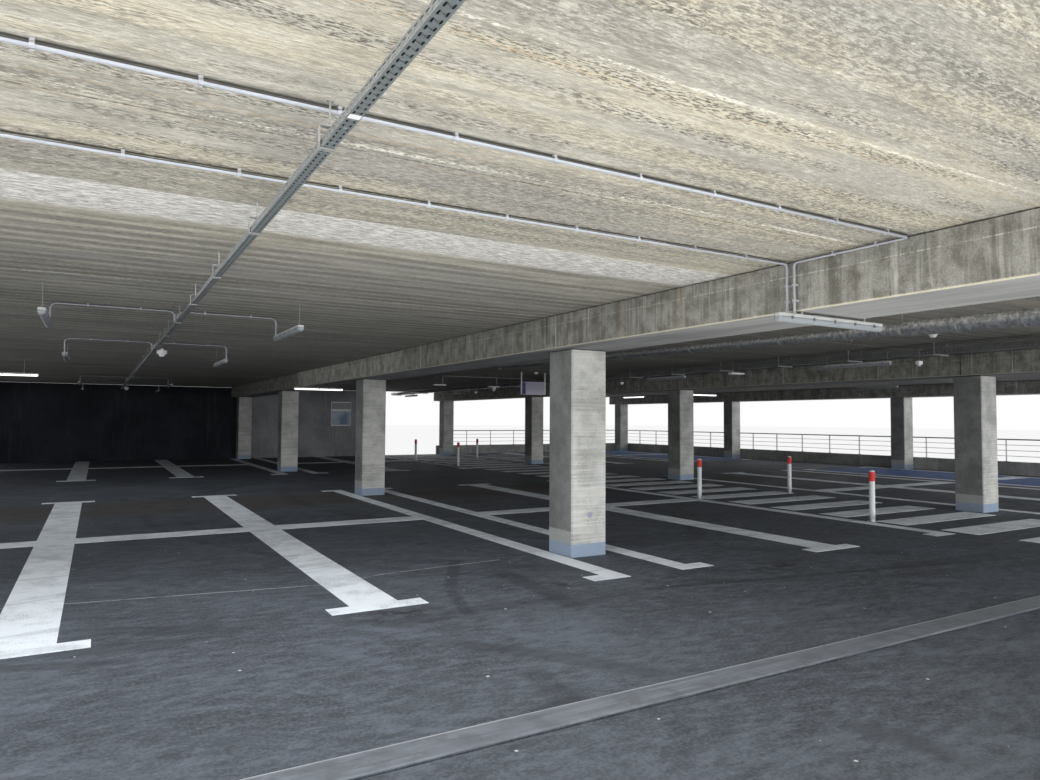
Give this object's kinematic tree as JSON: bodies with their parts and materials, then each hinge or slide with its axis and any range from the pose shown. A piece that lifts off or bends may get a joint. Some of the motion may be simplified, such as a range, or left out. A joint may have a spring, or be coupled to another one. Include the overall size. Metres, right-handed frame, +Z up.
{
  "type": "multi storey car park storey",
  "caption": "One storey of a concrete car park: columns, beams, deck units, parking bays, walkway, lights, cable trays and an upper parking deck with railings.",
  "frame": {"origin": "middle of the ground slab's underside", "axes": "+Z up, +Y along the beam rows from the open front edge to the end walls, +X across the rows towards the bays for disabled drivers"},
  "size_m": [28.4, 31.9, 4.53],
  "materials": {
    "floor_concrete": "matte",
    "joint_strip": "matte",
    "column_concrete": "matte",
    "beam_concrete": "matte",
    "soffit_concrete": "matte",
    "edge_concrete": "matte",
    "bearing_rubber": "matte",
    "white_paint": "matte",
    "blue_paint": "matte",
    "dark_wall": "matte",
    "grey_wall": "matte",
    "window_white": "satin",
    "post_plastic": "satin",
    "galvanised_steel": "satin",
    "tray_steel": "satin",
    "conduit_grey": "satin",
    "light_white": "satin",
    "pipe_foil": "satin",
    "sign_grey": "satin",
    "detector_white": "satin"
  },
  "bodies": {
    "root": {"ground_slab": "floor_concrete", "movement_joint_strips": "joint_strip", "columns_row_1": "column_concrete", "columns_row_2": "column_concrete", "columns_row_3": "column_concrete", "columns_row_4": "column_concrete", "bearing_pads": "bearing_rubber", "beams_row_1": "beam_concrete", "beams_row_2": "beam_concrete", "beams_row_3": "beam_concrete", "beams_row_4": "beam_concrete", "deck_units_west": "soffit_concrete", "deck_units_mid": "soffit_concrete", "deck_units_east": "soffit_concrete", "deck_topping": "floor_concrete", "bay_lines": "white_paint", "walkway_stripes": "white_paint", "blue_bays": "blue_paint", "upper_markings": "white_paint", "upper_blue_bays": "blue_paint", "floor_upstands": "edge_concrete", "floor_railings": "galvanised_steel", "upper_upstands": "edge_concrete", "upper_railings": "galvanised_steel", "end_wall_west": "dark_wall", "end_wall_mid": "grey_wall", "wall_window": "window_white", "walkway_post_1": "post_plastic", "walkway_post_2": "post_plastic", "walkway_post_3": "post_plastic", "walkway_post_4": "post_plastic", "walkway_post_5": "post_plastic", "walkway_post_6": "post_plastic", "cable_tray": "tray_steel", "wide_cable_tray": "tray_steel", "tray_hangers": "galvanised_steel", "ceiling_conduits": "conduit_grey", "branch_conduits": "conduit_grey", "hung_lights": "light_white", "aisle_lights": "light_white", "drain_pipe": "pipe_foil", "drain_hangers": "galvanised_steel", "hanging_sign": "sign_grey", "detectors": "detector_white"}
  },
  "joints": []
}
